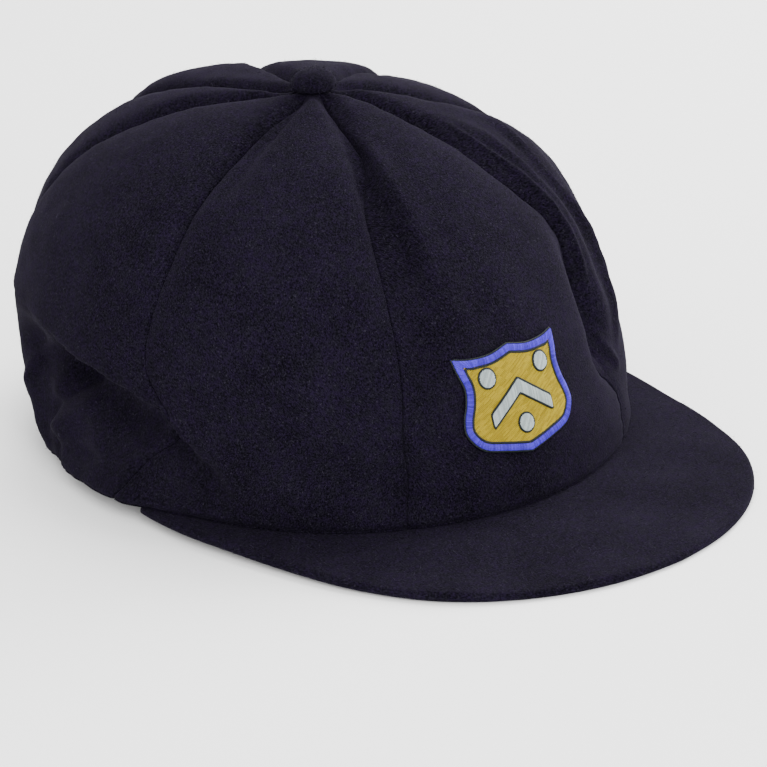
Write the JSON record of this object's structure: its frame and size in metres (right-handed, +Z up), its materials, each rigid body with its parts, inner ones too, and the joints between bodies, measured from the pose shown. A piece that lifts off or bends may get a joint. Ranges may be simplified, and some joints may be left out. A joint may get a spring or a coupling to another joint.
{
  "type": "cricket cap",
  "caption": "Soft panelled wool cricket cap with a baggy crown, a stiff curved peak, a covered button on top and an embroidered shield patch in front.",
  "frame": {"origin": "centre of the cap's bounding box, on the surface that it rests on", "axes": "+Z up, the peak points along -Y, +X to the wearer's left"},
  "size_m": [0.1854, 0.2592, 0.1185],
  "materials": {
    "wool": "matt napped melton",
    "blue_thread": "satin stitch",
    "gold_thread": "woven thread",
    "grey_thread": "satin stitch"
  },
  "bodies": {
    "root": {"front_panel": "wool", "front_left_panel": "wool", "side_left_panel": "wool", "back_left_panel": "wool", "back_panel": "wool", "back_right_panel": "wool", "side_right_panel": "wool", "front_right_panel": "wool", "peak": "wool", "button": "wool", "badge_border": "blue_thread", "badge_ground": "gold_thread", "badge_chevron": "grey_thread", "badge_disc_right": "grey_thread", "badge_disc_left": "grey_thread", "badge_disc_base": "grey_thread"}
  },
  "joints": []
}
